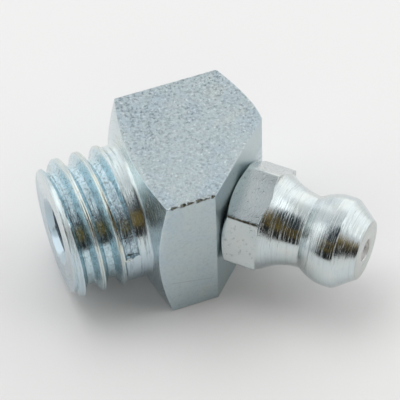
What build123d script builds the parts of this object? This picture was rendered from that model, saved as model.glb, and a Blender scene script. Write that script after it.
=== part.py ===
# Angled grease nipple, 45 degrees, with a coarse M10 shank. All sizes are in millimetres.
# The origin lies on the shank's axis at the foot of the body's shoulder, where the shank leaves the body.
# +X runs along the shank towards the body, +Z is up, and the nipple points towards +X and -Y.
from build123d import *
import os
from math import atan2, ceil, cos, degrees, hypot, radians, sin, sqrt, tan

os.makedirs("parts", exist_ok=True)

# Driving dimensions of the body, which is turned and sawn from square bar
bar_width = 11.0               # across the flats, for an 11 mm spanner
shoulder_angle = 19.0          # turned shoulder behind the shank, measured from the plane across the bar
shoulder_fillet = 0.35         # where the shoulder runs into the neck
side_length = 3.4              # front side between the shoulder's corners and the sloping face
face_angle = 45.0              # sloping face that carries the nipple, to the shank's axis
nose_flat_diameter = 10.9      # flat end opposite the shank, inside its turned chamfer
nose_chamfer_angle = 30.0      # of that chamfer, from the plane across the bar

# Driving dimensions of the threaded shank
shank_length = 5.5
neck_diameter = 9.5            # plain neck between the thread and the shoulder
thread_diameter = 10.0         # over the crests, at the last full thread
thread_pitch = 1.5
thread_depth = 0.85
thread_root_flat = 0.32
thread_flank_angle = 30.0      # each flank, from the plane across the shank
thread_taper = 1 / 16          # on the diameter, the shank being thinner at its free end
thread_end = 1.35              # middle of the groove at its blunt end, from the shoulder's foot
thread_end_angle = 172.0       # where the groove stops, turned from +Y towards +Z
crest_end = 1.1                # the crests come down to the neck here, from the shoulder's foot
crest_step = 0.3               # length of that step down
shank_end_diameter = 8.65      # free end, inside its chamfer

# Driving dimensions of the grease passage through the shank
bore_diameter = 4.0
bore_mouth_diameter = 4.8
bore_mouth_angle = 30.0        # countersink's wall, from the shank's axis
drill_point_angle = 59.0       # wall of a drilled hole's conical bottom, from its axis

# Driving dimensions of the nipple, along its own axis from the sloping face
hex_width = 6.9                # across the flats, for a 7 mm spanner
hex_corner_radius = 0.2
hex_length = 2.68
hex_turn = 19.0                # first corner, turned from the face's level line towards +Z
hex_seat_diameter = 6.5        # flat that the hexagon is screwed down on
hex_chamfer_angle = 30.0       # behind the hexagon, from the plane across the nipple
waist_diameter = 5.22          # smallest diameter of the hollow neck
waist_position = 5.37
neck_radius = 4.2              # of the neck's hollow curve
head_diameter = 6.5
head_position = 7.38           # centre of the round head
head_cone_start = 8.0
head_cone_angle = 37.0         # nose cone's wall, from the nipple's axis
nipple_length = 9.45
stem_diameter = 6.0            # M6 stem inside the body
stem_length = 3.6
stem_clearance = 0.02          # around the stem, in the radius
stem_hole_spare = 0.6          # full diameter beyond the stem's end

# Driving dimensions of the valve inside the nipple
inlet_diameter = 1.6
inlet_depth = 0.45
seat_angle = 45.0              # conical seat's wall, from the nipple's axis
ball_diameter = 2.5
ball_clearance = 0.1           # around the ball, in the radius
seat_gap = 0.03                # between the ball and its seat, along the axis
lip_diameter = 1.4             # rolled-in end of the stem, which holds the spring
lip_thickness = 0.4
spring_wire = 0.3
spring_diameter = 1.8          # mean coil diameter
spring_turns = 9
spring_gap = 0.02              # at each end of the spring

# The sloping face, and the nipple's axis through its middle, square to it
bar_half = bar_width / 2
shoulder_depth = (hypot(bar_half, bar_half) - neck_diameter / 2) * tan(radians(shoulder_angle))
face_start = shoulder_depth + side_length
nose_position = face_start + bar_half / tan(radians(face_angle))
face_middle = Vector((face_start + nose_position) / 2, -bar_half / 2, 0)
nipple_direction = Vector(sin(radians(face_angle)), -cos(radians(face_angle)), 0)
face_direction = Vector(cos(radians(face_angle)), sin(radians(face_angle)), 0)
nipple_plane = Plane(origin=face_middle, x_dir=face_direction, z_dir=nipple_direction)
nipple_section = Plane(origin=face_middle, x_dir=face_direction, z_dir=(0, 0, -1))
nipple_axis = Axis(face_middle, nipple_direction)

# The thread's groove: a helix at the root, which starts clear of the shank's free end, in spans under a turn
crest_radius = thread_diameter / 2
root_radius = crest_radius - thread_depth
groove_top = 0.1               # the groove's profile reaches this far outside the crests
longest_span = 0.9             # of a turn
groove_length = shank_length - thread_end + thread_pitch / 2
groove_spans = ceil(groove_length / (longest_span * thread_pitch))
span_length = groove_length / groove_spans


def groove_path(span):
    """Helix of one span, counted from the blunt end towards the free end."""
    end_position = -thread_end - span * span_length
    end_angle = thread_end_angle - 360 * span * span_length / thread_pitch
    helix = Helix(
        pitch=thread_pitch,
        height=span_length,
        radius=root_radius,
        center=(end_position - span_length, 0, 0),
        direction=(1, 0, 0),
    )
    helix_end = helix @ 1
    return helix.rotate(Axis.X, end_angle - degrees(atan2(helix_end.Z, helix_end.Y)))


# Body with its shank: one turned piece
end_radius = shank_end_diameter / 2
neck_start_radius = neck_diameter / 2
free_crest_radius = crest_radius - (shank_length - crest_end) * thread_taper / 2
end_chamfer = free_crest_radius - end_radius
spare = 1.0                    # turning profiles reach this far past the stock

with BuildPart() as angle_body:
    with BuildSketch(Plane.YZ):
        Rectangle(bar_width, bar_width)
    extrude(amount=nose_position)

    # Turned shoulder and nose chamfer leave the bar's corners short
    corner_radius = hypot(bar_half, bar_half)
    nose_radius = nose_flat_diameter / 2
    nose_depth = (corner_radius - nose_radius) * tan(radians(nose_chamfer_angle))
    shoulder_slope = tan(radians(shoulder_angle))
    nose_slope = tan(radians(nose_chamfer_angle))
    with BuildSketch(Plane.XY):
        with BuildLine():
            Polyline(
                (0, 0),
                (0, neck_start_radius),
                (shoulder_depth + spare * shoulder_slope, corner_radius + spare),
                (nose_position - nose_depth - spare * nose_slope, corner_radius + spare),
                (nose_position, nose_radius),
                (nose_position, 0),
                close=True,
            )
        make_face()
    revolve(axis=Axis.X, mode=Mode.INTERSECT)
    split(bisect_by=Plane(origin=face_middle, z_dir=nipple_direction), keep=Keep.BOTTOM)

    # Shank blank: chamfered end, tapered crests, and a step down to the plain neck
    foot_radius = neck_start_radius + shoulder_fillet
    foot_depth = (foot_radius - neck_start_radius) * shoulder_slope
    with BuildSketch(Plane.XY):
        with BuildLine():
            shank_outline = Polyline(
                (foot_depth, 0),
                (-shank_length, 0),
                (-shank_length, end_radius),
                (end_chamfer - shank_length, free_crest_radius),
                (-crest_end, crest_radius),
                (crest_step - crest_end, neck_start_radius),
                (0, neck_start_radius),
                (foot_depth, foot_radius),
                close=True,
            )
        make_face()
        shoulder_foot = shank_outline.vertices().sort_by_distance((0, neck_start_radius))[0]
        fillet(shoulder_foot, radius=shoulder_fillet)
    revolve(axis=Axis.X)

    # Right-hand thread groove, which stops bluntly in the neck
    groove_half = thread_root_flat / 2 + (thread_depth + groove_top) * tan(radians(thread_flank_angle))
    for span in range(groove_spans):
        span_path = groove_path(span)
        span_start = span_path @ 0
        outward = Vector(0, span_start.Y, span_start.Z)
        with BuildSketch(Plane(origin=span_start, x_dir=outward, z_dir=outward.cross(Vector(1, 0, 0)))):
            with BuildLine():
                Polyline(
                    (0, -thread_root_flat / 2),
                    (thread_depth + groove_top, -groove_half),
                    (thread_depth + groove_top, groove_half),
                    (0, thread_root_flat / 2),
                    close=True,
                )
            make_face()
        sweep(path=span_path, is_frenet=True, mode=Mode.SUBTRACT)

    # Grease passage along the shank, drilled to where it meets the nipple's hole
    bore_radius = bore_diameter / 2
    mouth_radius = bore_mouth_diameter / 2
    mouth_depth = (mouth_radius - bore_radius) / tan(radians(bore_mouth_angle))
    bore_end = face_start
    bore_point = bore_radius / tan(radians(drill_point_angle))
    with BuildSketch(Plane.XY):
        with BuildLine():
            Polyline(
                (-shank_length, 0),
                (-shank_length, mouth_radius),
                (mouth_depth - shank_length, bore_radius),
                (bore_end - bore_point, bore_radius),
                (bore_end, 0),
                close=True,
            )
        make_face()
    revolve(axis=Axis.X, mode=Mode.SUBTRACT)

    # Hole for the nipple's stem
    stem_hole_radius = stem_diameter / 2 + stem_clearance
    stem_hole_depth = stem_length + stem_hole_spare
    stem_hole_point = stem_hole_radius / tan(radians(drill_point_angle))
    with BuildSketch(nipple_section):
        with BuildLine():
            Polyline(
                (0, 0),
                (stem_hole_radius, 0),
                (stem_hole_radius, -stem_hole_depth),
                (0, -stem_hole_depth - stem_hole_point),
                close=True,
            )
        make_face()
    revolve(axis=nipple_axis, mode=Mode.SUBTRACT)
angle_body.part.label = "angle_body"
export_step(angle_body.part, "parts/angle_body.step")

# Nipple: turned from hexagon bar in one piece, with hollow neck, round head and stem
neck_centre = waist_diameter / 2 + neck_radius
rim_radius = neck_centre - sqrt(neck_radius**2 - (waist_position - hex_length) ** 2)
head_radius = head_diameter / 2
cone_start_radius = sqrt(head_radius**2 - (head_cone_start - head_position) ** 2)
head_face_radius = cone_start_radius - (nipple_length - head_cone_start) * tan(radians(head_cone_angle))
chamber_radius = ball_diameter / 2 + ball_clearance
inlet_radius = inlet_diameter / 2
seat_top = nipple_length - inlet_depth
seat_bottom = seat_top - (chamber_radius - inlet_radius) / tan(radians(seat_angle))

# Where the neck's hollow curve runs into the round head, from the two circles' centres
centres_apart = hypot(neck_centre, head_position - waist_position)
along = (centres_apart**2 + head_radius**2 - neck_radius**2) / (2 * centres_apart)
across = sqrt(head_radius**2 - along**2)
head_foot = (
    (along * neck_centre - across * (head_position - waist_position)) / centres_apart,
    head_position - (along * (head_position - waist_position) + across * neck_centre) / centres_apart,
)
neck_middle = (hex_length + head_foot[1]) / 2
neck_middle_radius = neck_centre - sqrt(neck_radius**2 - (waist_position - neck_middle) ** 2)

with BuildPart() as nipple:
    # Hexagon bar with rounded corners
    with BuildSketch(nipple_plane) as hexagon:
        RegularPolygon(radius=hex_width / 2, side_count=6, major_radius=False, rotation=hex_turn)
        fillet(hexagon.vertices(), radius=hex_corner_radius)
    extrude(amount=nipple_length)

    # Turned outline: chamfer behind the hexagon, hollow neck, round head with nose cone and flat end
    seat_radius = hex_seat_diameter / 2
    bar_radius = hex_width / sqrt(3) + spare
    chamfer_reach = (bar_radius - seat_radius) * tan(radians(hex_chamfer_angle))
    with BuildSketch(nipple_section):
        with BuildLine():
            Polyline(
                (0, nipple_length),
                (0, 0),
                (seat_radius, 0),
                (bar_radius, chamfer_reach),
                (bar_radius, hex_length),
                (rim_radius, hex_length),
            )
            ThreePointArc((rim_radius, hex_length), (neck_middle_radius, neck_middle), head_foot)
            ThreePointArc(head_foot, (head_radius, head_position), (cone_start_radius, head_cone_start))
            Polyline(
                (cone_start_radius, head_cone_start),
                (head_face_radius, nipple_length),
                (0, nipple_length),
            )
        make_face()
    revolve(axis=nipple_axis, mode=Mode.INTERSECT)

    # Stem inside the body
    with BuildSketch(nipple_plane):
        Circle(stem_diameter / 2)
    extrude(amount=-stem_length)

    # Inlet, ball seat and spring chamber, down to the rolled-in lip
    lip_radius = lip_diameter / 2
    lip_top = lip_thickness - stem_length
    with BuildSketch(nipple_section):
        with BuildLine():
            Polyline(
                (0, nipple_length),
                (inlet_radius, nipple_length),
                (inlet_radius, seat_top),
                (chamber_radius, seat_bottom),
                (chamber_radius, lip_top),
                (lip_radius, lip_top),
                (lip_radius, -stem_length),
                (0, -stem_length),
                close=True,
            )
        make_face()
    revolve(axis=nipple_axis, mode=Mode.SUBTRACT)
nipple.part.label = "nipple"
export_step(nipple.part, "parts/nipple.step")

# Check ball, held a hair's breadth below its seat
ball_radius = ball_diameter / 2
seat_apex = seat_top + inlet_radius / tan(radians(seat_angle))
ball_position = seat_apex - ball_radius / sin(radians(seat_angle)) - seat_gap

with BuildPart() as check_ball:
    with Locations(nipple_plane.offset(ball_position)):
        Sphere(ball_radius)
check_ball.part.label = "check_ball"
export_step(check_ball.part, "parts/check_ball.step")

# Compression spring, from the lip to the underside of the ball
wire_radius = spring_wire / 2
coil_radius = spring_diameter / 2
spring_bottom = lip_top + wire_radius + spring_gap
ball_reach = sqrt((ball_radius + wire_radius) ** 2 - coil_radius**2)
spring_top = ball_position - ball_reach - spring_gap
spring_length = spring_top - spring_bottom
spring_path = Helix(
    pitch=spring_length / spring_turns,
    height=spring_length,
    radius=coil_radius,
    center=nipple_plane.offset(spring_bottom).origin,
    direction=nipple_direction,
)

with BuildPart() as spring:
    with BuildSketch(Plane(origin=spring_path @ 0, z_dir=spring_path % 0)):
        Circle(wire_radius)
    sweep(path=spring_path, is_frenet=True)
spring.part.label = "spring"
export_step(spring.part, "parts/spring.step")
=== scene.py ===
"""Dresses an angled grease nipple: body with a threaded shank, turned nipple, check ball and spring."""

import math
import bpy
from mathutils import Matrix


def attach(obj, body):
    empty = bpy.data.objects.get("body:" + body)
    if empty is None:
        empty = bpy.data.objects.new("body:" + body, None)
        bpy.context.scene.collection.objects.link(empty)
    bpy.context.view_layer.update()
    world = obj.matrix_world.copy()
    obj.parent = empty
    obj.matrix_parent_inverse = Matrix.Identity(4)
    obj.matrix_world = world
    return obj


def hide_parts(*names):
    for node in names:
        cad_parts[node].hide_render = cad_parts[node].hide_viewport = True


bl_info = {
    "name": "Angled grease nipple",
    "version": (1, 0, 0),
    "blender": (4, 5, 0),
    "location": "3D View > Sidebar > Grease Nipple",
    "description": "Zinc-plated 45 degree grease nipple with its stage",
    "category": "Object",
}

from types import SimpleNamespace

import bpy
import numpy as np
from bpy.props import FloatProperty, FloatVectorProperty, PointerProperty
from mathutils import Matrix, Vector

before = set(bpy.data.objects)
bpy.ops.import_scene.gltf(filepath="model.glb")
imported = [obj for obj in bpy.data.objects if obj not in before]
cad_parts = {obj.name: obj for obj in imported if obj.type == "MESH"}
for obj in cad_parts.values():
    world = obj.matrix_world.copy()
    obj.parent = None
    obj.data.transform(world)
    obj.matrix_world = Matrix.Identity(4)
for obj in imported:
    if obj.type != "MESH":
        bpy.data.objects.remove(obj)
MM = 0.001


def length(name, description, millimetres):
    """A length that a user may change, stored in metres."""
    value = millimetres * MM
    return FloatProperty(name=name, description=description, default=value, unit="LENGTH", precision=5)


def turn(name, description, degrees):
    """An angle that a user may change, stored in radians."""
    value = math.radians(degrees)
    return FloatProperty(name=name, description=description, default=value, subtype="ANGLE")


def colour(name, description, rgb):
    """A linear colour that a user may change."""
    return FloatVectorProperty(
        name=name, description=description, default=rgb, subtype="COLOR", size=3, min=0, max=1
    )


class BodySizes(bpy.types.PropertyGroup):
    """Sizes of the square body and its threaded shank."""

    bar_width: length("Bar width", "Across the flats of the square bar", 11.0)
    shoulder_angle: turn("Shoulder angle", "Turned shoulder, from a plane across the bar", 19.0)
    shoulder_fillet: length("Shoulder fillet", "Where the shoulder runs into the neck", 0.35)
    side_length: length("Side length", "From the shoulder's corners to the sloping face", 3.4)
    nose_flat: length("Nose flat", "Diameter of the flat end inside its chamfer", 10.9)
    nose_chamfer: turn("Nose chamfer", "Its angle, from a plane across the bar", 30.0)
    edge_radius: length("Edge radius", "Broken edges of the body", 0.1)
    shank_length: length("Shank length", "From the shoulder's foot to the free end", 5.5)
    neck_diameter: length("Neck diameter", "Plain neck behind the thread", 9.5)
    thread_diameter: length("Thread diameter", "Over the crests at the last full thread", 10.0)
    thread_pitch: length("Thread pitch", "From crest to crest", 1.5)
    thread_depth: length("Thread depth", "From the crests to the groove's floor", 0.85)
    thread_root: length("Root flat", "Width of the groove's floor", 0.56)
    thread_flank: turn("Flank angle", "Each flank, from a plane across the shank", 24.0)
    thread_end: length("Groove end", "Its middle, from the shoulder's foot", 1.35)
    thread_end_angle: turn("Groove end angle", "Where it stops, turned from +Y towards +Z", 172.0)
    run_out: turn("Run-out", "Where the groove's floor rises and widens", 85.0)
    run_out_rise: length("Run-out rise", "Of the floor, at the groove's end", 0.44)
    run_out_width: length("Run-out width", "Of the floor, at the groove's end", 0.82)
    crest_end: length("Crest end", "Where the crests have their full height", 1.1)
    crest_seam: length("Crest seam", "Depth of the seam along the crests", 0.06)
    rim_notch: length("Rim notch", "Depth of the seam behind the end's rim", 0.2)
    shank_end: length("Shank end", "Diameter inside its chamfer", 8.65)
    bore: length("Bore", "Diameter of the grease passage", 4.0)
    bore_mouth: length("Bore mouth", "Diameter of its countersunk mouth", 4.8)
    burr_depth: length("Burr depth", "Depth of the nicks along the front edge", 0.14)


class NippleSizes(bpy.types.PropertyGroup):
    """Sizes of the turned nipple, along its own axis from the body's sloping face."""

    hex_width: length("Hexagon width", "Across the flats", 6.9)
    hex_corner: length("Hexagon corner", "Radius of its corners", 0.3)
    hex_length: length("Hexagon length", "From the sloping face to the ledge in front", 2.68)
    hex_turn: turn("Hexagon turn", "First corner, from level towards +Z", 19.0)
    seat: length("Seat", "Diameter of the flat that it sits on", 6.5)
    waist: length("Waist", "Smallest diameter of the hollow neck", 5.22)
    waist_position: length("Waist position", "Along the nipple's axis", 5.37)
    neck_radius: length("Neck radius", "Of the neck's hollow curve", 4.2)
    head: length("Head", "Diameter of the round head", 6.5)
    head_position: length("Head position", "Centre of the round head", 7.38)
    cone_start: length("Cone start", "Where the nose cone leaves the round head", 8.0)
    cone_angle: turn("Cone angle", "Nose cone's wall, from the nipple's axis", 37.0)
    nipple_length: length("Nipple length", "To the flat end", 9.45)
    stem: length("Stem", "Diameter of the stem inside the body", 6.0)
    stem_length: length("Stem length", "Depth of the stem inside the body", 3.6)
    inlet: length("Inlet", "Diameter of the hole in the flat end", 1.6)
    inlet_depth: length("Inlet depth", "To the ball's seat", 0.45)
    chamber: length("Chamber", "Diameter of the spring chamber", 2.7)
    lip: length("Lip", "Diameter inside the stem's rolled-in end", 1.4)
    lip_thickness: length("Lip thickness", "Of that rolled-in end", 0.4)


class FinishColours(bpy.types.PropertyGroup):
    """Colours of the zinc plating, of a painted light on the shank's upper side, and of the stage, as linear
    values.
    """

    zinc: colour("Zinc", "Plating on the body", (0.56, 0.645, 0.665))
    zinc_blue: colour("Blue tint", "Blue patches, and most of the shank", (0.47, 0.60, 0.70))
    zinc_green: colour("Green tint", "Green patches", (0.58, 0.66, 0.62))
    zinc_yellow: colour("Yellow tint", "Yellow patches", (0.73, 0.74, 0.64))
    zinc_pale: colour("Pale zinc", "Plating on the nipple", (0.67, 0.72, 0.71))
    # shank_pale: painted light, a pale tint laid on the shank's upper side
    shank_pale: colour("Pale shank", "Plating on the shank's upper side", (0.76, 0.84, 0.84))
    groove_blue: colour("Groove blue", "Deep tint in the thread's grooves", (0.34, 0.53, 0.63))
    groove_pale: colour("Groove pale", "Lighter tint in the thread's grooves", (0.55, 0.70, 0.74))
    steel: colour("Steel", "Polished ball and spring wire", (0.56, 0.57, 0.58))
    floor: colour("Floor", "Pale floor", (0.82, 0.815, 0.81))
    backdrop: colour("Backdrop", "Pale surroundings, also mirrored", (0.80, 0.81, 0.83))


def sizes_of(group):
    """A group's sizes by name, with lengths in millimetres and angles in radians."""
    kinds = group.bl_rna.properties
    unit = {key: 1 if kinds[key].subtype == "ANGLE" else MM for key in group.__annotations__}
    return SimpleNamespace(**{key: getattr(group, key) / unit[key] for key in unit})


def body_sizes():
    """The body's sizes, with those that follow from them."""
    size = sizes_of(bpy.context.scene.grease_body)
    size.half = half = size.bar_width / 2
    size.neck = size.neck_diameter / 2
    size.end = -size.shank_length
    depth = (half * math.sqrt(2) - size.neck) * math.tan(size.shoulder_angle)
    size.face_start = depth + size.side_length
    size.nose = size.face_start + half
    size.face_middle = np.array([size.face_start + half / 2, -half / 2, 0.0])
    return size


def nipple_sizes():
    """The nipple's sizes."""
    return sizes_of(bpy.context.scene.grease_nipple)


AXIS = np.array([math.sqrt(0.5), -math.sqrt(0.5), 0.0])
LEVEL = np.array([math.sqrt(0.5), math.sqrt(0.5), 0.0])
UP = np.array([0.0, 0.0, 1.0])


def smooth_min(a, b, blend):
    """The lower of two heights, rounded where they cross: a mix of both, less a parabola in its share."""
    mix = np.clip(0.5 + 0.5 * (b - a) / blend, 0, 1)
    return b + (a - b) * mix - blend * mix * (1 - mix)


def smooth_step(x, low, high):
    """0 below low, 1 above high, and a cubic between them."""
    t = np.clip((x - low) / (high - low), 0, 1)
    return t * t * (3 - 2 * t)


def waves(x, seed, octaves, base):
    """A repeatable wavy line: sines of growing frequency and falling height, with phases from the seed."""
    rng = np.random.default_rng(seed)
    total = np.zeros_like(x)
    for octave in range(octaves):
        total += np.sin(x * base * 1.9**octave + rng.uniform(0, 2 * math.pi)) / 1.5**octave
    return total


def closed_mesh(name, points, triangles):
    """A mesh object from points in millimetres, with doubles merged and empty triangles dropped."""
    unique, index = np.unique(np.round(points, 5), axis=0, return_inverse=True)
    tris = index.reshape(-1)[triangles]
    tris = tris[(tris != np.roll(tris, 1, axis=1)).all(1)]
    mesh = bpy.data.meshes.new(name)
    mesh.vertices.add(len(unique))
    mesh.vertices.foreach_set("co", (unique * MM).astype(np.float32).reshape(-1))
    mesh.loops.add(tris.size)
    mesh.loops.foreach_set("vertex_index", tris.astype(np.int32).reshape(-1))
    mesh.polygons.add(len(tris))
    mesh.polygons.foreach_set("loop_start", np.arange(0, tris.size, 3, dtype=np.int32))
    mesh.update(calc_edges=True)
    mesh.validate()
    piece = bpy.data.objects.new(name, mesh)
    bpy.context.scene.collection.objects.link(piece)
    return piece


def quads(first, second):
    """Two triangles for each cell between two rows of point numbers."""
    a, b = first[..., :-1], second[..., :-1]
    c, d = second[..., 1:], first[..., 1:]
    return np.stack([a, b, c, a, c, d], -1).reshape(-1, 3)


def ring_rows(columns, rows, start=0):
    """Triangles of rows of points round an axis: a grid closed on itself."""
    ids = start + np.arange(rows * columns).reshape(rows, columns)
    ids = np.concatenate([ids, ids[:, :1]], 1).T
    return quads(ids[:-1], ids[1:])


def shade(piece):
    """Smooth shading, with edges that turn by more than 38 degrees left sharp."""
    piece.data.shade_smooth()
    piece.data.set_sharp_from_angle(angle=math.radians(38))


def put_attributes(piece, **shares):
    """One number per point under each name."""
    for name, values in shares.items():
        attribute = piece.data.attributes.new(name, "FLOAT", "POINT")
        attribute.data.foreach_set("value", np.asarray(values, np.float32))


def points_of(piece):
    """The piece's points, in millimetres."""
    flat = np.empty(len(piece.data.vertices) * 3, np.float32)
    piece.data.vertices.foreach_get("co", flat)
    return flat.reshape(-1, 3).astype(float) / MM


def groove_place(x, angle, size):
    """Where x and angle lie on the threaded shank, whose groove climbs one pitch a turn.

    Returns the distance from the nearest groove's middle and the turned angle past that groove's end, then
    the same two for the last groove at this angle.
    """
    pitch = size.thread_pitch
    turns = (angle - size.thread_end_angle) / (2 * math.pi)
    off = x + size.thread_end - pitch * turns
    last = np.floor(-turns + 1e-6)
    nearest = np.minimum(np.round(off / pitch), last)
    past, ahead = 2 * math.pi * (turns + nearest), 2 * math.pi * (turns + last)
    return off - pitch * nearest, past, off - pitch * last, ahead


def shank_radius(x, angle, size):
    """Radius of the threaded shank at x and angle: a turned blank, less a helical groove.

    The blank is a chamfered end and a plain neck, and crests stand above it on a slight taper, beside the
    groove only. The groove is a flat floor with straight flanks, centred on a helix. Over its last stretch
    the floor rises and widens, the crest beside it sinks away, and a low step closes it.
    """
    crest, pitch, end = size.thread_diameter / 2, size.thread_pitch, size.end
    off, past, from_last, ahead = groove_place(x, angle, size)

    # blank: the crest sinks to the neck past the last groove, and its front lip over the groove's end
    lip = 1 - smooth_step(ahead, -2.4, -1.0)
    beside = 1 + (lip - 1) * smooth_step(from_last, -0.2, 0.2)
    ridge = beside * (1 - smooth_step(from_last - pitch / 2, 0.03, 0.26))
    taper = 1 / 32
    blank = size.neck + (crest + (x + size.crest_end) * taper - size.neck) * ridge
    blank = smooth_min(blank, size.shank_end / 2 + (x - end), 0.08)

    # groove: closed past its end by a step, and left out where it would lie in the end's chamfer
    out = smooth_step(past, -size.run_out, -0.1 * size.run_out)
    root = crest - size.thread_depth + size.run_out_rise * out
    half = (size.thread_root + (size.run_out_width - size.thread_root) * out) / 2
    wall = np.maximum(np.abs(off) - half, 0) / math.tan(size.thread_flank)
    groove = root - smooth_min(np.zeros_like(wall), -wall, 0.1 - 0.07 * out)
    beyond = smooth_step(off - x, -end - 0.6, -end - 0.3)
    groove = groove + 1.5 * smooth_step(past, -0.02, 0.0) + beyond
    radius = smooth_min(blank, groove, 0.07 - 0.04 * out)

    # seams: along the crests, and behind the end's rim
    along_crest = np.exp(-(((0.5 * pitch - np.abs(off)) / 0.05) ** 2))
    seam = size.crest_seam * along_crest * ridge * smooth_step(x, end + 0.25, end + 0.45)
    rim = size.rim_notch * np.exp(-(((off - 0.4) / 0.08) ** 2)) * beyond
    return radius - seam - rim


def block_limits(angle, size):
    """For each angle round the shank, the corners of the body's outline in that half-plane, as (x, radius).

    They are the shoulder's edge, the far edge of the bar's flat, the nose chamfer's inner edge, and the axis.
    """
    off = (angle + math.pi / 4) % (math.pi / 2) - math.pi / 4
    flat = size.half / np.cos(off)
    shoulder = (flat - size.neck) * math.tan(size.shoulder_angle)
    nose, rim = size.nose, size.nose_flat / 2
    chamfer = nose - np.maximum(flat - rim, 0) * math.tan(size.nose_chamfer)
    slope = nose + flat * np.minimum(np.cos(angle), 0)
    sloping = slope < chamfer
    return [
        np.stack([shoulder, flat], -1),
        np.stack([np.where(sloping, slope, chamfer), flat], -1),
        np.stack([np.where(sloping, slope, nose), np.where(sloping, flat, rim)], -1),
        np.stack([np.full_like(flat, nose), np.zeros_like(flat)], -1),
    ]


def rounded_block(points, size):
    """Rounds the block's edges, as if a ball rolled round it.

    Each point goes to the nearest point of the block shrunk by the edge radius, and back out by that radius.
    It steps onto one face after another, and each face's last move is taken back before its next one.
    """
    radius = size.edge_radius
    half, nose = size.half - radius, size.nose

    def planes(p):
        return np.concatenate([np.minimum(p[:, :1], nose - radius), np.clip(p[:, 1:], -half, half)], 1)

    def slope(p):
        over = np.maximum((p - size.face_middle) @ AXIS + radius, 0)
        return p - over[:, None] * AXIS

    def cone(p, sign, slant, r0, x0):
        x, y, z = p.T
        r = np.hypot(y, z)
        tangent, cosine = math.tan(slant), math.cos(slant)
        over = np.maximum((sign * (x - x0) + (r - r0) * tangent) * cosine + radius, 0)
        moved = r - over * tangent * cosine
        scale = np.where(r > 1e-9, moved / np.maximum(r, 1e-9), 1)
        return np.stack([x - sign * over * cosine, y * scale, z * scale], 1)

    steps = [
        planes,
        slope,
        lambda p: cone(p, -1, size.shoulder_angle, size.neck, 0.0),
        lambda p: cone(p, 1, size.nose_chamfer, size.nose_flat / 2, nose),
    ]
    inner = points.copy()
    debt = [np.zeros_like(points) for _ in steps]
    for _ in range(40):
        for k, step in enumerate(steps):
            moved = step(inner + debt[k])
            debt[k] = inner + debt[k] - moved
            inner = moved
    out = points - inner
    distance = np.linalg.norm(out, axis=1, keepdims=True)
    return inner + radius * out / np.maximum(distance, 1e-9)


def column_angles(step, extras):
    """Angles round an axis in degrees: an even ring, with more of them at the given places."""
    return np.unique(np.round(np.concatenate([np.arange(0, 360, step), np.array(extras) % 360]), 4))


def round_axis(x, radius, angle):
    """Points at x along the shank's axis, and at a radius and an angle round it."""
    return np.stack([x, radius * np.cos(angle), radius * np.sin(angle)], -1)


def thread_rows(degrees, low, high, size):
    """Points and triangles of the thread: a grid sheared along the helix, so that its rows follow the groove.

    Rows lie across one pitch after another, from the groove's middle. Those past low or high fall together.
    """
    pitch = size.thread_pitch
    side = np.array([0.07, 0.13, 0.18, 0.24, 0.33, 0.43, 0.52, 0.58, 0.62, 0.66, 0.70, 0.73])
    across = np.concatenate([[0.0], side, [pitch / 2], pitch - side[::-1]])
    zero = -size.thread_end - pitch * size.thread_end_angle / (2 * math.pi)
    turns = np.arange(math.floor((low - zero) / pitch) - 2, math.ceil((high - zero) / pitch) + 2)
    level = (zero + pitch * turns[:, None] + across).reshape(-1)
    x = np.clip(level + pitch * degrees[:, None] / 360, low, high)
    angle = np.radians(degrees)[:, None]
    points = round_axis(x, shank_radius(x, angle, size), angle)
    ids = np.arange(x.size).reshape(x.shape)
    seam = quads(ids[-1:, : -len(across)], ids[:1, len(across) :])
    return points.reshape(-1, 3), np.concatenate([quads(ids[:-1], ids[1:]), seam])


def end_face(angle, low, size):
    """Rings of the free end, from its middle over the flat face and the rounded rim to the thread's start."""
    thread = shank_radius(np.full(len(angle), low), angle, size)
    flat = thread - 0.075
    inward = [0.0, 0.15, 0.35, 0.5, 0.65, 0.8, 0.9, 0.97]
    rim_x = size.end + np.array([-0.001, 0.006, 0.025, 0.052])
    rim_r = [flat + out for out in (0.0, 0.03, 0.055, 0.068)]
    radius = np.array([*(flat * share for share in inward), *rim_r, thread])
    x = np.array([*[rim_x[0]] * len(inward), *rim_x, low])[:, None] + np.zeros(len(angle))
    return round_axis(x, radius, angle)


def neck_rings(angle, high, size):
    """Rings of the plain neck, and of the circle's arc that leads from it into the shoulder."""
    steep = math.pi / 2 - size.shoulder_angle
    bend = np.linspace(0, steep, 8)
    fillet = size.shoulder_fillet
    arc_x = -fillet * math.tan(steep / 2) + fillet * np.sin(bend)
    arc_r = size.neck + fillet * (1 - np.cos(bend))
    straight = [(high, size.neck), (high + 0.1, size.neck), (-0.4, size.neck)]
    rings = [np.full((len(angle), 2), place) for place in (*straight, *zip(arc_x, arc_r))]
    rings[0][:, 1] = shank_radius(rings[0][:, 0], angle, size)
    return rings


def block_rings(foot, angle, size):
    """Rings of the block from the shoulder's foot to the nose's middle.

    They lie at shares of each side between a half-plane's corners, dense where the edges are rounded.
    """
    corners = [foot, *block_limits(angle, size)]
    edge = size.edge_radius * np.array([0.25, 0.6, 1.1, 2.0])
    rings = []
    for k, rows in enumerate((9, 35, 8, 15)):
        a, b = corners[k], corners[k + 1]
        span = np.maximum(np.linalg.norm(b - a, axis=1), 1e-9)[:, None]
        near = np.minimum(edge / span, 0.5)
        first = near if k else np.zeros_like(near)
        last = 1 - near[:, ::-1] if k < 3 else np.ones_like(near)
        middle = first[:, -1:] + (last[:, :1] - first[:, -1:]) * np.linspace(0, 1, rows)[1:-1]
        shares = np.concatenate([first, middle, last], 1)
        rings += [a + (b - a) * share[:, None] for share in shares.T]
        rings.append(b)
    return rings


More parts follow.
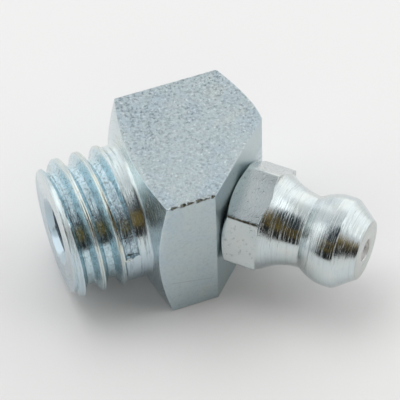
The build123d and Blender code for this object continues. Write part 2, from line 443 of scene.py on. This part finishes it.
def body_surface(size):
    """Points and triangles of the body's outside, closed from the free end's middle to the nose's middle.

    The thread is a sheared grid. Plain rings at the same angles carry on past both its ends: the end face on
    one side, and the neck, shoulder, flats, chamfer, and nose or sloping face on the other.
    """
    end = math.degrees(size.thread_end_angle)
    corners = [c + o for c in (45, 135, 225, 315) for o in (-0.5, -0.25, 0.25, 0.5)]
    edges = [c + o for c in (90, 270) for o in (-0.5, 0.5)]
    step = [end + o for o in (-1.4, -0.8, -0.4, 0.3)]
    degrees = column_angles(1.0, corners + edges + step)
    angle = np.radians(degrees)
    low, high = size.end + 0.08, -size.thread_end + 0.73

    thread, triangles = thread_rows(degrees, low, high, size)
    face = end_face(angle, low, size)
    neck = neck_rings(angle, high, size)
    ring = np.array(neck + block_rings(neck[-1], angle, size))
    block = round_axis(ring[..., 0], ring[..., 1], angle)
    sharp = block[len(neck) :]
    block[len(neck) :] = rounded_block(sharp.reshape(-1, 3), size).reshape(sharp.shape)
    points, parts = [thread], [triangles]
    for rings in (face, block):
        parts.append(ring_rows(len(angle), len(rings), sum(map(len, points))))
        points.append(rings.reshape(-1, 3))
    return np.concatenate(points), np.concatenate(parts)


def nick_edge(points, size):
    """Nicks along the saw-cut edge between the top and front flats: points near it sink by a wavy depth."""
    x, y, z = points.T
    near = np.exp(-((np.hypot(size.half - z, size.half + y) / 0.17) ** 2))
    run = smooth_step(x, 1.0, 1.3) * (1 - smooth_step(x, 4.2, 4.6))
    notch = np.clip(waves(x, 11, 5, 6.0) * 0.3 + 0.7, 0.35, 1)
    sink = near * run * notch * size.burr_depth
    return points + sink[:, None] * np.array([0.0, 0.7, -0.7]), near * run


def revolved(profile, columns, origin, axis, level):
    """A closed profile of (along, radius) carried round an axis. It may differ from column to column."""
    angle = np.radians(columns)
    along, radius = profile[..., 0], profile[..., 1]
    outward = np.cos(angle)[None, :, None] * level + np.sin(angle)[None, :, None] * UP
    return origin + along[..., None] * axis + radius[..., None] * outward


def cutter(name, profile, origin, axis, level):
    """A closed turned solid that cuts a hole."""
    columns = np.arange(0, 360, 3.0)
    points = revolved(np.array(profile, float)[:, None], columns, origin, axis, level)
    return closed_mesh(name, points.reshape(-1, 3), ring_rows(len(columns), len(profile)))


def cut(piece, tools):
    """Takes the tools' shapes out of the piece, and removes the tools."""
    for tool in tools:
        modifier = piece.modifiers.new("hole", "BOOLEAN")
        modifier.operation = "DIFFERENCE"
        modifier.solver = "MANIFOLD"
        modifier.object = tool
    graph = bpy.context.evaluated_depsgraph_get()
    mesh = bpy.data.meshes.new_from_object(piece.evaluated_get(graph))
    piece.modifiers.clear()
    mesh.materials.clear()
    mesh.polygons.foreach_set("material_index", np.zeros(len(mesh.polygons), np.int32))
    used = [piece.data, *(tool.data for tool in tools)]
    piece.data = mesh
    mesh.name = used[0].name
    for tool in tools:
        bpy.data.objects.remove(tool)
    for old in used:
        bpy.data.meshes.remove(old)
    if len(mesh.polygons) < 1000:
        raise RuntimeError("cutting the holes left no body")


def drill(body, size, nipple):
    """Cuts the grease passage with its countersunk mouth, and the nipple's hole, both ending in a cone."""
    bore, mouth = size.bore / 2, size.bore_mouth / 2
    end, depth = size.end, size.face_start
    drill_point = math.tan(math.radians(59))
    countersink = (mouth - bore) * 1.1
    passage = cutter(
        "passage",
        [(end - 1, 0), (end - 1, mouth + 0.577), (end, mouth + 0.03), (end + 0.03, mouth - 0.017),
         (end + countersink, bore), (depth - bore / drill_point, bore), (depth, 0)],
        np.zeros(3), np.array([1.0, 0, 0]), np.array([0, 1.0, 0]),
    )
    hole, deep = nipple.stem / 2 + 0.02, nipple.stem_length + 0.6
    stem_hole = cutter(
        "stem_hole", [(-deep - hole / drill_point, 0), (-deep, hole), (1, hole), (1, 0)],
        size.face_middle, AXIS, LEVEL,
    )
    cut(body, [passage, stem_hole])


def mark_body(body, size):
    """Shares at each point for the material: flats, nicks with their painted dark reflection, grooves,
    crests, and the bore's painted shade, with soft limits.
    """
    places = points_of(body)
    x, y, z = places.T
    radius = np.hypot(y, z)
    half, neck, end = size.half, size.neck, size.end
    on_flat = smooth_step(np.abs(places[:, 1:]).max(1), half - 0.06, half - 0.01)
    on_slope = smooth_step((places - size.face_middle) @ AXIS, -0.06, -0.01)
    outer = radius > size.bore_mouth / 2
    off, past, *_ = groove_place(x, np.arctan2(z, y) % (2 * math.pi), size)
    low = 1 - smooth_step(radius, neck + 0.05, neck + 0.2)
    sunk = outer * low * (1 - smooth_step(np.abs(off), 0.5, 0.64))
    sunk = sunk * smooth_step(x, end + 0.08, end + 0.2) * (x < -0.6)
    out = smooth_step(past, -size.run_out, -0.3 * size.run_out)
    inside = (radius < size.bore / 2 + 0.03) * (x < size.face_start + 0.1)
    put_attributes(
        body,
        flat=np.maximum(on_flat, on_slope) * outer,
        top=smooth_step(z, half - 0.06, half - 0.01),
        # nicks: where the painted dark reflection along the nicked edge goes
        nicks=nick_edge(places, size)[1],
        groove=sunk,
        run_out=sunk * out * (x > -2.6),
        crest=smooth_step(radius, neck + 0.09, neck + 0.18) * (x < -0.7),
        # deep: where the bore's inside gets its painted shade
        deep=inside * smooth_step(x, end + 0.4, end + 0.6),
    )


class GREASE_OT_body(bpy.types.Operator):
    """Makes the square body with its threaded shank, bored through"""

    bl_idname = "grease.body"
    bl_label = "Body with shank"

    def execute(self, context):
        size = body_sizes()
        points, triangles = body_surface(size)
        body = closed_mesh("body_with_shank", nick_edge(points, size)[0], triangles)
        drill(body, size, nipple_sizes())
        shade(body)
        mark_body(body, size)
        body.data.materials.append(plated("zinc_body"))
        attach(body, "housing")
        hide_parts("angle_body")
        return {"FINISHED"}


def rounded_corners(corners, radii):
    """A profile with its corners rounded by parabolas, each from a little before its corner to just past it.

    corners has one row for each corner and one column for each angle. A radius of zero keeps the corner.
    """

    def towards(here, there, radius):
        way = there - here
        far = np.linalg.norm(way, axis=-1, keepdims=True)
        return here + way / np.maximum(far, 1e-9) * np.minimum(radius, 0.45 * far)

    rows = []
    for k, (here, radius) in enumerate(zip(corners, radii)):
        a = towards(here, corners[k - 1], radius)
        b = towards(here, corners[(k + 1) % len(corners)], radius)
        steps = np.linspace(0, 1, 4) if radius else (0.0,)
        rows += [(1 - t) ** 2 * a + 2 * t * (1 - t) * here + t * t * b for t in steps]
    return np.array(rows)


def hexagon_radius(off, size):
    """Radius of the hexagon at an angle off a flat's middle: flat over cosine, or a small corner circle."""
    flat, corner, sixth = size.hex_width / 2, size.hex_corner, math.pi / 6
    centre = (flat - corner) / math.cos(sixth)
    from_corner = sixth - np.abs(off)
    inside = np.maximum(corner**2 - (centre * np.sin(from_corner)) ** 2, 0)
    tangent = math.atan((flat - corner) * math.tan(sixth) / flat)
    rounded = centre * np.cos(from_corner) + np.sqrt(inside)
    return np.where(np.abs(off) > tangent, rounded, flat / np.cos(off))


def nipple_surface(size):
    """Points and triangles of the nipple: its turned outline cut by a hexagon, carried round its axis.

    The chamfer behind the hexagon and the ledge in front end at its radius. The hollow neck and round head
    are arcs of circles. The profile goes on through inlet, seat, chamber and lip to the stem's end.
    """
    turned_by = math.degrees(size.hex_turn)
    near = (-1.5, -1.1, -0.7, -0.35, 0, 0.35, 0.7, 1.1, 1.5)
    columns = column_angles(1.5, [turned_by + 60 * k + offset for k in range(6) for offset in near])
    hexagon = hexagon_radius(np.radians(columns - turned_by) % (math.pi / 3) - math.pi / 6, size)

    # where the neck's hollow curve leaves the hexagon's ledge, and its foot on the round head
    neck_r, waist, ledge = size.neck_radius, size.waist_position, size.hex_length
    neck_centre = size.waist / 2 + neck_r
    rim = neck_centre - math.sqrt(neck_r**2 - (waist - ledge) ** 2)
    head, middle = size.head / 2, size.head_position
    apart = math.hypot(neck_centre, middle - waist)
    along = (apart**2 + head**2 - neck_r**2) / (2 * apart)
    beside = math.sqrt(head**2 - along**2)
    foot = middle - (along * (middle - waist) + beside * neck_centre) / apart
    cone_start, total = size.cone_start, size.nipple_length
    cone_r = math.sqrt(head**2 - (cone_start - middle) ** 2)
    face = cone_r - (total - cone_start) * math.tan(size.cone_angle)

    seat, stem, deep = size.seat / 2, size.stem / 2, -size.stem_length
    meets = waist - np.sqrt(neck_r**2 - (neck_centre - np.minimum(hexagon, rim)) ** 2)
    flat_end = np.where(hexagon < rim, meets, ledge)
    hollow = [flat_end + (foot - flat_end) * share for share in np.linspace(0, 1, 26)[1:-1]]
    shares = (0.15, 0.3, 0.45, 0.6, 0.75, 0.9)
    cone = [(cone_start + (total - cone_start) * k, cone_r + (face - cone_r) * k, 0) for k in shares]
    inlet, chamber, lip = size.inlet / 2, size.chamber / 2, size.lip / 2
    seat_top, lip_top = total - size.inlet_depth, deep + size.lip_thickness

    # places along the axis, with their radius and the rounding of the corner there
    corners = [
        (deep, lip, 0.03),
        (deep, stem, 0.25),
        (-0.25, stem, 0.08),
        (0.0, stem - 0.12, 0.05),
        (0.0, seat, 0.03),
        ((hexagon - seat) * math.tan(math.pi / 6), hexagon, 0.05),
        (flat_end, hexagon, 0.05),
        (flat_end, np.minimum(hexagon, rim), 0.05),
        *((s, neck_centre - np.sqrt(neck_r**2 - (waist - s) ** 2), 0) for s in hollow),
        (foot, math.sqrt(head**2 - (foot - middle) ** 2), 0.05),
        *((s, math.sqrt(head**2 - (s - middle) ** 2), 0) for s in np.linspace(foot, cone_start, 30)[1:-1]),
        (cone_start, cone_r, 0.1),
        *cone,
        (total, face, 0.14),
        (total, face - 0.35, 0),
        (total, face - 0.7, 0),
        (total, inlet, 0.08),
        (seat_top, inlet, 0.03),
        (seat_top - (chamber - inlet), chamber, 0.05),
        (lip_top, chamber, 0.1),
        (lip_top, lip, 0.05),
    ]
    around = np.zeros(len(columns))
    places = np.array([np.stack([s + around, r + around], -1) for s, r, _ in corners])
    profile = rounded_corners(places, [corner[2] for corner in corners])
    profile = np.concatenate([profile, profile[:1]])
    points = revolved(profile, columns, body_sizes().face_middle, AXIS, LEVEL)
    return points.reshape(-1, 3), ring_rows(len(columns), len(profile))


class GREASE_OT_nipple(bpy.types.Operator):
    """Makes the turned nipple with its hexagon, hollow neck, round head and inlet"""

    bl_idname = "grease.nipple"
    bl_label = "Nipple"

    def execute(self, context):
        size = nipple_sizes()
        points, triangles = nipple_surface(size)
        nipple = closed_mesh("turned_nipple", points, triangles)
        shade(nipple)
        places = points_of(nipple) - body_sizes().face_middle
        along = places @ AXIS
        radius = np.linalg.norm(places - along[:, None] * AXIS, axis=1)
        ledge, inlet = size.hex_length, size.inlet / 2
        on_hexagon = 1 - smooth_step(along, ledge - 0.02, ledge + 0.35)
        put_attributes(
            nipple,
            flat=on_hexagon * (radius > size.seat / 2),
            # hole: where the inlet's inside gets its painted light
            hole=1 - smooth_step(radius, inlet - 0.02, inlet + 0.04),
        )
        nipple.data.materials.append(turned("zinc_nipple"))
        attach(nipple, "housing")
        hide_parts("nipple")
        return {"FINISHED"}


class Nodes:
    """Short calls for one material's nodes."""

    def __init__(self, name):
        self.colours = bpy.context.scene.grease_colours
        self.material = bpy.data.materials.new(name)
        self.material.use_nodes = True
        self.tree = self.material.node_tree
        self.tree.nodes.clear()
        self.shader = self.add("ShaderNodeBsdfPrincipled")
        self.add("ShaderNodeOutputMaterial", self.shader.outputs[0])

    def put(self, value, socket):
        """Links another node's output, or sets a plain value. A colour gets full alpha."""
        if isinstance(value, bpy.types.NodeSocket):
            self.tree.links.new(value, socket)
        elif value is not None:
            socket.default_value = (*value, 1.0) if socket.type == "RGBA" else value

    def add(self, kind, *values, **settings):
        """A new node with its settings, and values for its first inputs."""
        node = self.tree.nodes.new(kind)
        for name, setting in settings.items():
            setattr(node, name, setting)
        for value, socket in zip(values, node.inputs):
            self.put(value, socket)
        return node

    def surface(self, values):
        """The finished material, with values for the shader's inputs by name."""
        for name, value in values.items():
            self.put(value, self.shader.inputs[name])
        return self.material

    def math(self, operation, *values):
        return self.add("ShaderNodeMath", *values, operation=operation).outputs[0]

    def times(self, first, *others):
        """The product of all the values."""
        for other in others:
            first = self.math("MULTIPLY", first, other)
        return first

    def rest(self, share):
        """What a share leaves of the whole, not below 0."""
        return self.add("ShaderNodeMath", 1.0, share, operation="SUBTRACT", use_clamp=True).outputs[0]

    def vector(self, operation, a, b=None, scale=None):
        node = self.add("ShaderNodeVectorMath", a, b, None, scale, operation=operation)
        return node.outputs["Value" if operation in ("LENGTH", "DOT_PRODUCT") else "Vector"]

    def millimetres(self, turned_by=0.0):
        """The piece's own coordinates in millimetres, turned round Z by an angle in radians."""
        own = self.add("ShaderNodeTexCoord").outputs["Object"]
        scale = (1 / MM,) * 3
        return self.add("ShaderNodeMapping", own, None, (0, 0, turned_by), scale).outputs["Vector"]

    def split(self, vector):
        return self.add("ShaderNodeSeparateXYZ", vector).outputs

    def join(self, x, y, z):
        return self.add("ShaderNodeCombineXYZ", x, y, z).outputs[0]

    def noise(self, vector, scale, detail, roughness, distortion=0.0):
        node = self.add("ShaderNodeTexNoise", vector, None, scale, detail, roughness)
        node.inputs["Distortion"].default_value = distortion
        return node.outputs[0]

    def range(self, value, low, high, to_low=0.0, to_high=1.0, smooth=False):
        """A value's way from low to high, straight or a cubic, held at both ends."""
        kind = "SMOOTHSTEP" if smooth else "LINEAR"
        numbers = (value, low, high, to_low, to_high)
        return self.add("ShaderNodeMapRange", *numbers, interpolation_type=kind).outputs[0]

    def window(self, value, a, b, c, d):
        """0 up to a, 1 from b to c, and 0 again from d on, with soft edges."""
        return self.times(self.range(value, a, b, smooth=True), self.range(value, d, c, smooth=True))

    def mix(self, share, a, b):
        node = self.add("ShaderNodeMix", share, data_type="RGBA")
        self.put(a, node.inputs[6])
        self.put(b, node.inputs[7])
        return node.outputs[2]

    def layers(self, base, *others):
        """A colour with others laid over it in turn, each given as share and colour."""
        for share, tint in others:
            base = self.mix(share, base, tint)
        return base

    def attribute(self, name):
        return self.add("ShaderNodeAttribute", attribute_name=name).outputs["Fac"]

    def relief(self, *bumps):
        """Bumps laid over each other, each given as pattern, height in millimetres and share."""
        normal = None
        for pattern, height, share in bumps:
            node = self.add("ShaderNodeBump", share, height * MM)
            self.put(pattern, node.inputs["Height"])
            self.put(normal, node.inputs["Normal"])
            normal = node.outputs[0]
        return normal


def zinc_tint(nodes, place, plain, strength):
    """The plating's colour: plain zinc, with slow blue, green and yellow patches as in thin films."""
    slow = nodes.noise(place, 0.33, 3, 0.55, 0.6)
    slower = nodes.noise(nodes.vector("ADD", place, (31.0, 7.0, 13.0)), 0.6, 2, 0.5, 0.4)
    return nodes.layers(
        plain,
        (nodes.range(slow, 0.42, 0.62, 0.0, strength), nodes.colours.zinc_blue),
        (nodes.range(slower, 0.5, 0.7, 0.0, 0.8 * strength), nodes.colours.zinc_green),
        (nodes.range(slower, 0.42, 0.3, 0.0, 0.6 * strength), nodes.colours.zinc_yellow),
    )


def shank_tint(nodes, x, upper):
    """Plain zinc on the block, and on the shank a blue with painted light that pales it towards its upper
    side.
    """
    paler = nodes.mix(upper, nodes.colours.zinc_blue, nodes.colours.shank_pale)
    shank = nodes.times(nodes.rest(nodes.range(x, -0.2, 1.0)), nodes.math("MULTIPLY_ADD", upper, 0.3, 0.6))
    return nodes.mix(shank, nodes.colours.zinc, paler)


def groove_tint(nodes, place, fine, upper):
    """Mottled blue in the thread's grooves, with painted light that pales their upper side, and dark and pale
    specks.
    """
    x, y, z = nodes.split(place)
    mottle = nodes.noise(nodes.join(nodes.times(x, 1.6), y, z), 2.4, 4, 0.8)
    return nodes.layers(
        nodes.colours.groove_blue,
        (nodes.range(mottle, 0.4, 0.6), nodes.colours.groove_pale),
        # painted light: a pale blue laid over the grooves' upper side
        (nodes.times(upper, 0.75), (0.64, 0.83, 0.91)),
        (nodes.range(mottle, 0.42, 0.34), (0.42, 0.44, 0.34)),
        (nodes.range(fine, 0.48, 0.38), (0.24, 0.32, 0.34)),
        (nodes.range(fine, 0.58, 0.66), (0.80, 0.86, 0.86)),
    )


def flat_specks(nodes, place, fine, top):
    """Share of dark specks on the flats, more on the top one and towards its rear."""
    x, y, _ = nodes.split(place)
    grain = nodes.math("MULTIPLY_ADD", top, 0.7, 0.3)
    rear = nodes.range(nodes.math("SUBTRACT", y, nodes.times(x, 0.2)), -1.5, 4.5, 0.8, 1.5)
    patches = nodes.range(nodes.noise(place, 0.35, 3, 0.5), 0.3, 0.6, 0.6, 1.0)
    return nodes.times(nodes.range(fine, 0.53, 0.36), grain, rear, patches)


def scratch(nodes, place, fine):
    """Share of a faint scratch on the front flat: a sloping line with soft ends, broken up by the grain."""
    x, y, z = nodes.split(place)
    off_line = nodes.math("ABSOLUTE", nodes.math("ADD", nodes.math("MULTIPLY_ADD", x, 0.229, z), 2.164))
    on_line = nodes.times(nodes.range(off_line, 0.05, 0.01), nodes.window(x, 0.6, 1.2, 3.8, 4.4))
    return nodes.times(on_line, nodes.range(y, -5.4, -5.48), nodes.range(fine, 0.35, 0.6))


def plated(name):
    """Zinc on the body: rings where it was turned, mottled grooves, a speckled grain on the flats, painted
    light on the shank's upper side, a painted dark reflection along the nicked edge, and painted shade in the
    bore.
    """
    nodes = Nodes(name)
    place = nodes.millimetres()
    x, y, z = nodes.split(place)
    shares = ("flat", "top", "nicks", "groove", "run_out", "crest", "deep")
    flat, top, nicks, groove, run_out, crest, deep = map(nodes.attribute, shares)
    # painted light: a share that grows towards the top, so that the shank and its grooves are paler on their
    # upper side
    upper = nodes.range(z, -1.0, 3.0)

    # rings follow x plus radius, so that they run round both shank and shoulder
    radius = nodes.math("SQRT", nodes.math("ADD", nodes.times(y, y), nodes.times(z, z)))
    lathe = nodes.times(nodes.math("ADD", x, radius), 11.0)
    rings = nodes.noise(nodes.join(lathe, nodes.times(y, 0.3), nodes.times(z, 0.3)), 1.0, 4, 0.8)
    round_share = nodes.rest(flat)

    fine = nodes.noise(place, 4.5, 4, 0.85)
    sparkle = nodes.range(nodes.noise(place, 4.0, 3, 0.85), 0.56, 0.66)
    marks = nodes.range(nodes.noise(place, 4.0, 3, 0.7, 0.8), 0.44, 0.58)
    worn = nodes.range(nodes.noise(place, 1.3, 3, 0.6), 0.4, 0.6, 0.15, 0.7)
    base = nodes.layers(
        zinc_tint(nodes, place, shank_tint(nodes, x, upper), 0.35),
        (nodes.times(groove, 0.8), groove_tint(nodes, place, fine, upper)),
        (nodes.times(crest, worn), nodes.colours.zinc_yellow),
        (nodes.times(flat_specks(nodes, place, fine, top), flat, 0.95), (0.20, 0.26, 0.30)),
        (nodes.times(sparkle, top, 0.8), (0.88, 0.93, 0.94)),
        # painted dark reflection: a dark brown laid along the nicked edge, where the edge mirrors the tent's
        # dark gap
        (nodes.times(nicks, nodes.range(fine, 0.4, 0.6, 0.8, 0.2)), (0.30, 0.27, 0.19)),
        (nodes.times(scratch(nodes, place, fine), 0.7), (0.30, 0.32, 0.31)),
        (nodes.times(run_out, marks, 0.5), (0.28, 0.32, 0.42)),
        # painted shade: the bore's inside darkened nearly to black
        (nodes.times(deep, 0.85), (0.07, 0.09, 0.12)),
    )
    rough_flat = nodes.range(fine, 0.3, 0.7, 0.26, 0.42)
    rough_turned = nodes.range(rings, 0.3, 0.7, 0.07, 0.18)
    crystals = nodes.add("ShaderNodeTexVoronoi", place, None, 5.5).outputs["Distance"]
    relief = nodes.relief(
        (rings, 0.02, round_share),
        (nodes.range(rings, 0.58, 0.72), 0.02, round_share),
        (fine, 0.1, nodes.times(nodes.math("MULTIPLY_ADD", top, 0.7, 0.3), flat)),
        (crystals, 0.03, nodes.times(top, 0.6)),
        (nodes.noise(place, 5.0, 3, 0.7), 0.004, groove),
        (marks, 0.006, run_out),
    )
    return nodes.surface({
        "Base Color": base,
        "Metallic": 1.0,
        "Roughness": nodes.add("ShaderNodeMix", flat, None, rough_turned, rough_flat).outputs[0],
        "Normal": relief,
    })


def turned(name):
    """Zinc on the nipple: strong fine turning rings, small dents on the hexagon's flats, and painted light
    inside the inlet.
    """
    nodes = Nodes(name)
    place = nodes.millimetres()
    own = nodes.vector("SUBTRACT", place, tuple(body_sizes().face_middle))
    along = nodes.vector("DOT_PRODUCT", own, tuple(AXIS))
    radial = nodes.vector("SUBTRACT", own, nodes.vector("SCALE", tuple(AXIS), scale=along))
    lathe = nodes.math("ADD", along, nodes.times(nodes.vector("LENGTH", radial), 0.35))
    x, y, z = nodes.split(radial)
    slow_level, slow_up = nodes.times(nodes.math("ADD", x, y), 0.11), nodes.times(z, 0.16)
    rings = nodes.noise(nodes.join(nodes.times(lathe, 12.0), slow_level, slow_up), 1.0, 4, 0.85)
    coarse = nodes.noise(nodes.join(nodes.times(lathe, 3.2), slow_level, slow_up), 1.0, 2, 0.6)
    flat, hole = nodes.attribute("flat"), nodes.attribute("hole")
    round_share = nodes.rest(flat)
    dents = nodes.range(nodes.noise(nodes.vector("ADD", place, (5.0, 3.0, 1.0)), 2.8, 3, 0.7), 0.6, 0.68)
    total = nipple_sizes().nipple_length
    base = nodes.layers(
        zinc_tint(nodes, place, nodes.colours.zinc_pale, 0.3),
        (nodes.times(dents, flat, 0.55), (0.30, 0.34, 0.37)),
        (nodes.times(nodes.range(rings, 0.56, 0.66), round_share, 0.5), (0.92, 0.93, 0.92)),
        (nodes.times(nodes.range(rings, 0.46, 0.36), round_share, 0.4), (0.38, 0.40, 0.40)),
        (nodes.times(flat, 0.5), (0.47, 0.51, 0.51)),
        (nodes.times(nodes.range(along, total - 0.06, total - 0.02), 0.75), (0.47, 0.50, 0.47)),
        # painted light: the inlet's inside painted pale and not metallic, as if the check ball shone there
        (hole, (0.90, 0.87, 0.85)),
    )
    relief = nodes.relief(
        (rings, 0.014, round_share),
        (nodes.range(rings, 0.57, 0.72), 0.014, round_share),
        (coarse, 0.05, nodes.times(round_share, 0.6)),
        (nodes.noise(place, 6.0, 5, 0.65), 0.02, flat),
        (dents, -0.012, flat),
    )
    return nodes.surface({
        "Base Color": base,
        "Metallic": nodes.rest(hole),
        "Roughness": nodes.range(rings, 0.3, 0.7, 0.08, 0.18),
        "Normal": relief,
    })


def polished(name, roughness, streak):
    """Bare steel of the valve's parts: fine scratches that lightly roughen it."""
    nodes = Nodes(name)
    scratches = nodes.noise(nodes.millimetres(), streak, 5, 0.7)
    return nodes.surface({
        "Base Color": nodes.mix(nodes.range(scratches, 0.35, 0.7), nodes.colours.steel, (0.70, 0.71, 0.72)),
        "Metallic": 1.0,
        "Roughness": nodes.range(scratches, 0.3, 0.7, roughness, roughness + 0.12),
        "Normal": nodes.relief((scratches, 0.004, 1.0)),
    })


class GREASE_OT_valve(bpy.types.Operator):
    """Finishes the check ball and its spring, which keep their solids"""

    bl_idname = "grease.valve"
    bl_label = "Check ball and spring"

    def execute(self, context):
        for name, finish, roughness, streak in (
            ("check_ball", "ball_steel", 0.1, 4.0),
            ("spring", "spring_wire", 0.25, 9.0),
        ):
            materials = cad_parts[name].data.materials
            materials.clear()
            materials.append(polished(finish, roughness, streak))
        return {"FINISHED"}


def lay_floor(level):
    """A wide flat sheet of pale paper at the given height."""
    reach = 1500.0
    corners = [(reach * a, reach * b, level) for a, b in ((-1, -1), (1, -1), (1, 1), (-1, 1))]
    floor = closed_mesh("floor", np.array(corners), np.array([[0, 1, 2], [0, 2, 3]]))
    nodes = Nodes("floor_paper")
    plain = nodes.colours.floor
    lighter = tuple(min(1.0, c * 1.03) for c in plain)
    paper = nodes.mix(nodes.noise(nodes.millimetres(), 0.02, 2, 0.5), plain, lighter)
    surface = {"Base Color": paper, "Roughness": 0.8, "Specular IOR Level": 0.2}
    floor.data.materials.append(nodes.surface(surface))


def tent_cloth():
    """Light of the tent: an even glow with soft panels, darker overhead, and a dark gap with a gold foot.

    A panel's limits are angles in degrees, four round the tent and four up it.
    """
    nodes = Nodes("tent_cloth")
    place = nodes.millimetres(-math.radians(297.5))
    x, y, z = nodes.split(nodes.vector("NORMALIZE", place))
    azimuth = nodes.math("DEGREES", nodes.math("ARCTAN2", y, x))
    height = nodes.math("DEGREES", nodes.math("ARCSINE", z))

    def panel(round_it, up_it):
        return nodes.times(nodes.window(azimuth, *round_it), nodes.window(height, *up_it))

    def above(low, high):
        return nodes.range(height, low, high, smooth=True)

    gap = nodes.layers(
        (0.022, 0.024, 0.030),
        (above(14, 24), (0.24, 0.165, 0.045)),
        (nodes.range(nodes.noise(place, 0.012, 3, 0.6), 0.58, 0.46), (0.028, 0.026, 0.022)),
        (above(38, 48), (0.035, 0.045, 0.055)),
        (above(70, 86), (0.12, 0.15, 0.17)),
    )
    glow = nodes.layers(
        nodes.colours.backdrop,
        (panel((35, 70, 115, 140), (-9, -2, 35, 60)), (1.30, 1.30, 1.30)),
        (panel((138, 144, 154, 164), (-9, 0, 42, 60)), (1.10, 1.12, 1.15)),
        (panel((-166, -158, -128, -118), (-9, 0, 52, 70)), (1.30, 1.30, 1.30)),
        (nodes.times(above(62, 78), 0.8), (0.56, 0.58, 0.60)),
        (panel((14, 24, 48, 66), (28, 40, 68, 78)), (1.60, 1.60, 1.60)),
        (panel((-116, -100, 2, 16), (-9, -8, 76, 92)), gap),
    )
    return nodes.surface({
        "Base Color": (0.0, 0.0, 0.0),
        "Specular IOR Level": 0.0,
        "Emission Color": glow,
        "Emission Strength": 1.0,
    })


def raise_tent():
    """A dome round the stage, from just under the floor to overhead, hidden from the camera and casting no
    shadow, so that it is seen in the metal and lights the floor.
    """
    far = 420.0
    u, v = np.meshgrid(np.linspace(0, 1, 73), np.linspace(0, 1, 25), indexing="ij")
    azimuth, rise = 2 * math.pi * u, np.radians(-2 + 92 * v)
    out = far * np.cos(rise)
    points = np.stack([out * np.cos(azimuth), out * np.sin(azimuth), far * np.sin(rise)], -1)
    ids = np.arange(u.size).reshape(u.shape)
    tent = closed_mesh("light_tent", points.reshape(-1, 3), quads(ids[:-1], ids[1:]))
    tent.data.materials.append(tent_cloth())
    tent.visible_camera = False
    tent.visible_shadow = False


def light_room(scene):
    """Pale even surroundings."""
    scene.world = bpy.data.worlds.new("pale_room")
    scene.world.use_nodes = True
    background = scene.world.node_tree.nodes["Background"]
    background.inputs["Color"].default_value = (*scene.grease_colours.backdrop, 1.0)
    background.inputs["Strength"].default_value = 0.78


def area_lamp(name, place, size, power, warmth):
    """A soft rectangular lamp, turned to the object and not mirrored by it."""
    lamp = bpy.data.lights.new(name, "AREA")
    lamp.shape = "RECTANGLE"
    lamp.size, lamp.size_y = size
    lamp.energy = power
    lamp.color = warmth
    holder = bpy.data.objects.new(name, lamp)
    bpy.context.scene.collection.objects.link(holder)
    holder.location = place
    towards = Vector((0.004, -0.002, 0)) - Vector(place)
    holder.rotation_euler = towards.to_track_quat("-Z", "Y").to_euler()
    holder.visible_glossy = False


def add_camera(scene, azimuth=-1.89544266, elevation=0.864117607, roll=-0.0391351):
    """The camera fitted to the photo: back along its azimuth and elevation, level and then rolled."""
    sensor, focal_pixels, photo_pixels = 36.0, 2150.84, 400
    lens = bpy.data.cameras.new("photo_view")
    lens.sensor_width = sensor
    lens.lens = sensor * focal_pixels / photo_pixels
    lens.clip_start, lens.clip_end = 0.005, 5.0
    camera = bpy.data.objects.new("photo_view", lens)
    scene.collection.objects.link(camera)
    camera.location = (-0.0263632, -0.0937801, 0.1146705)
    level = math.cos(elevation)
    back = Vector((level * math.cos(azimuth), level * math.sin(azimuth), math.sin(elevation)))
    right = Vector((0, 0, 1)).cross(back).normalized()
    up = back.cross(right)
    across = math.cos(roll) * right + math.sin(roll) * up
    above = math.cos(roll) * up - math.sin(roll) * right
    camera.rotation_euler = Matrix((across, above, back)).transposed().to_euler()
    scene.camera = camera


class GREASE_OT_stage(bpy.types.Operator):
    """Puts the pale floor, the light tent, the soft lamps and the camera"""

    bl_idname = "grease.stage"
    bl_label = "Stage"

    def execute(self, context):
        scene = context.scene
        lay_floor(-body_sizes().half)
        raise_tent()
        light_room(scene)
        area_lamp("key_above", (-0.04, 0.12, 0.40), (0.30, 0.26), 0.55, (1.0, 0.99, 0.98))
        area_lamp("fill_front", (-0.10, -0.30, 0.26), (0.40, 0.30), 0.30, (1.0, 1.0, 1.0))
        add_camera(scene)
        scene.view_settings.view_transform = "Standard"
        return {"FINISHED"}


class GREASE_PT_panel(bpy.types.Panel):
    """Lists the pieces and their sizes"""

    bl_label = "Grease nipple"
    bl_idname = "GREASE_PT_panel"
    bl_space_type = "VIEW_3D"
    bl_region_type = "UI"
    bl_category = "Grease Nipple"

    def draw(self, context):
        layout = self.layout
        for operator in STEPS:
            layout.operator(operator.bl_idname)
        for name, group in GROUPS.items():
            box = layout.box()
            box.label(text=group.__doc__)
            for key in group.__annotations__:
                box.prop(getattr(context.scene, name), key)


STEPS = (GREASE_OT_body, GREASE_OT_nipple, GREASE_OT_valve, GREASE_OT_stage)
GROUPS = {"grease_body": BodySizes, "grease_nipple": NippleSizes, "grease_colours": FinishColours}
CLASSES = (*GROUPS.values(), *STEPS, GREASE_PT_panel)


def register():
    for item in CLASSES:
        bpy.utils.register_class(item)
    for name, group in GROUPS.items():
        setattr(bpy.types.Scene, name, PointerProperty(type=group))


def unregister():
    for name in GROUPS:
        delattr(bpy.types.Scene, name)
    for item in reversed(CLASSES):
        bpy.utils.unregister_class(item)


def main():
    """Registers the classes and makes every piece in order."""
    register()
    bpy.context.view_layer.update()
    bpy.ops.grease.body()
    bpy.ops.grease.nipple()
    bpy.ops.grease.valve()
    bpy.ops.grease.stage()


if __name__ == "__main__":
    main()
